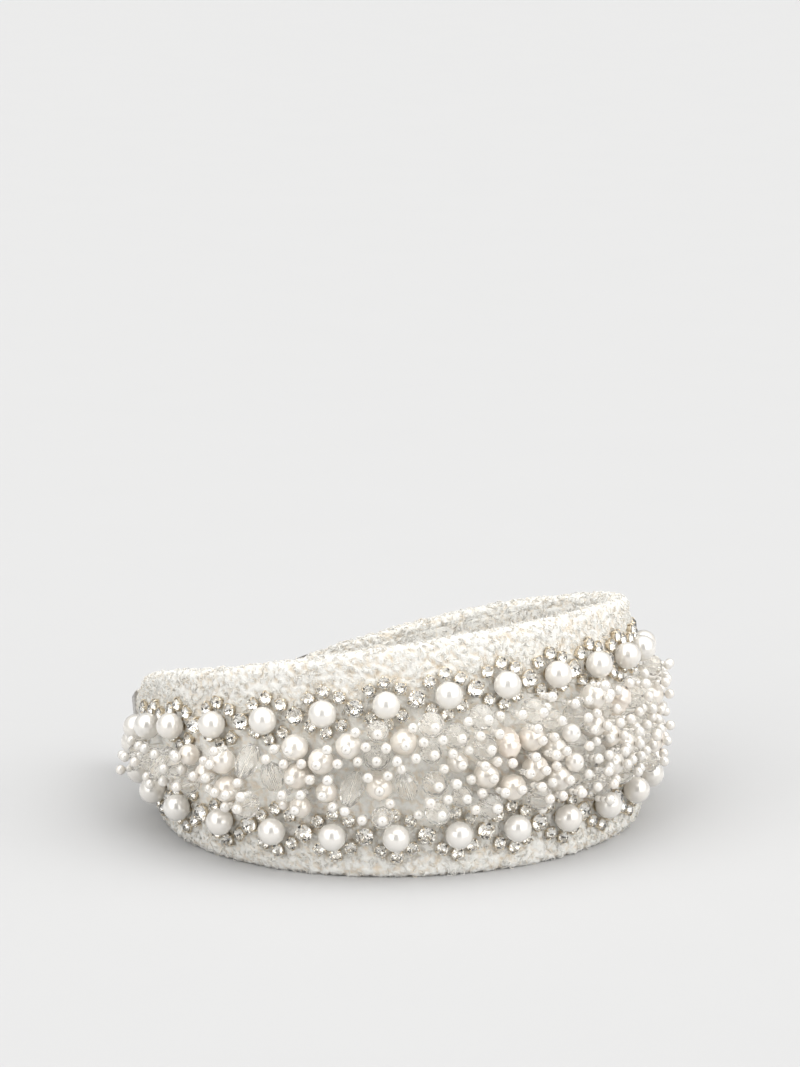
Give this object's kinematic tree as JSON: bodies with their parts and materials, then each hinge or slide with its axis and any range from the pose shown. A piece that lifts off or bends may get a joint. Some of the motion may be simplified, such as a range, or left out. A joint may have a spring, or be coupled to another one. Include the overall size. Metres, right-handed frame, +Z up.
{
  "type": "headband",
  "caption": "Wide padded headband in bouclé, with pearl-and-rhinestone flower rows and a fringe of pearls and crystals; its sprung arms open over the head.",
  "frame": {"origin": "centre of the bounding box at the plane the band lies on", "axes": "+Z up out of the plane it lies on, crown facing -Y, arm tips towards +Y, mirror plane X = 0"},
  "size_m": [0.1638, 0.1674, 0.0672],
  "materials": {
    "core": "satin",
    "foam": "matte",
    "boucle": "matte",
    "lining": "matte",
    "tip_metal": "satin",
    "cup_metal": "gloss",
    "small_stone": "gloss",
    "large_stone": "gloss",
    "row_pearl": "satin",
    "fringe_pearl": "satin",
    "baroque_pearl": "satin",
    "crystal": "gloss",
    "oval_crystal": "gloss",
    "stopper_pearl": "satin",
    "seed_glass": "gloss",
    "thread": "satin"
  },
  "bodies": {
    "crown": {"crown_core": "core", "crown_pad": "foam", "crown_cover": "boucle", "crown_lining": "lining", "upper_row_pearls": "row_pearl", "upper_row_seats": "cup_metal", "upper_row_cups": "cup_metal", "upper_row_small_stones": "small_stone", "upper_row_large_stones": "large_stone", "lower_row_pearls": "row_pearl", "lower_row_seats": "cup_metal", "lower_row_cups": "cup_metal", "lower_row_small_stones": "small_stone", "lower_row_large_stones": "large_stone", "crown_fringe_pearls": "fringe_pearl", "crown_fringe_baroques": "baroque_pearl", "crown_fringe_crystals": "crystal", "crown_fringe_ovals": "oval_crystal", "crown_fringe_stoppers": "stopper_pearl", "crown_fringe_seeds": "seed_glass", "crown_fringe_threads": "thread"},
    "left_arm": {"left_arm_core": "core", "left_arm_pad": "foam", "left_arm_cover": "boucle", "left_arm_lining": "lining", "left_tip_cap": "tip_metal", "left_row_pearls": "row_pearl", "left_row_seats": "cup_metal", "left_row_cups": "cup_metal", "left_row_small_stones": "small_stone", "left_row_large_stones": "large_stone", "left_fringe_pearls": "fringe_pearl", "left_fringe_crystals": "crystal", "left_fringe_ovals": "oval_crystal", "left_fringe_stoppers": "stopper_pearl", "left_fringe_seeds": "seed_glass", "left_fringe_threads": "thread"},
    "right_arm": {"right_arm_core": "core", "right_arm_pad": "foam", "right_arm_cover": "boucle", "right_arm_lining": "lining", "right_tip_cap": "tip_metal", "right_row_pearls": "row_pearl", "right_row_seats": "cup_metal", "right_row_cups": "cup_metal", "right_row_small_stones": "small_stone", "right_row_large_stones": "large_stone", "right_fringe_pearls": "fringe_pearl", "right_fringe_crystals": "crystal", "right_fringe_ovals": "oval_crystal", "right_fringe_stoppers": "stopper_pearl", "right_fringe_seeds": "seed_glass", "right_fringe_threads": "thread"}
  },
  "joints": [
    {"name": "left_arm_flex", "type": "hinge", "parent": "crown", "child": "left_arm", "pos_m": [-0.07124, -0.00499, 0.02627], "axis": [0, 0.1132, 0.9936], "range_deg": [-5, 12], "stiffness_Nm_per_rad": 1},
    {"name": "right_arm_flex", "type": "hinge", "parent": "crown", "child": "right_arm", "pos_m": [0.07124, -0.00499, 0.02627], "axis": [0, -0.1132, -0.9936], "range_deg": [-5, 12], "stiffness_Nm_per_rad": 1}
  ]
}
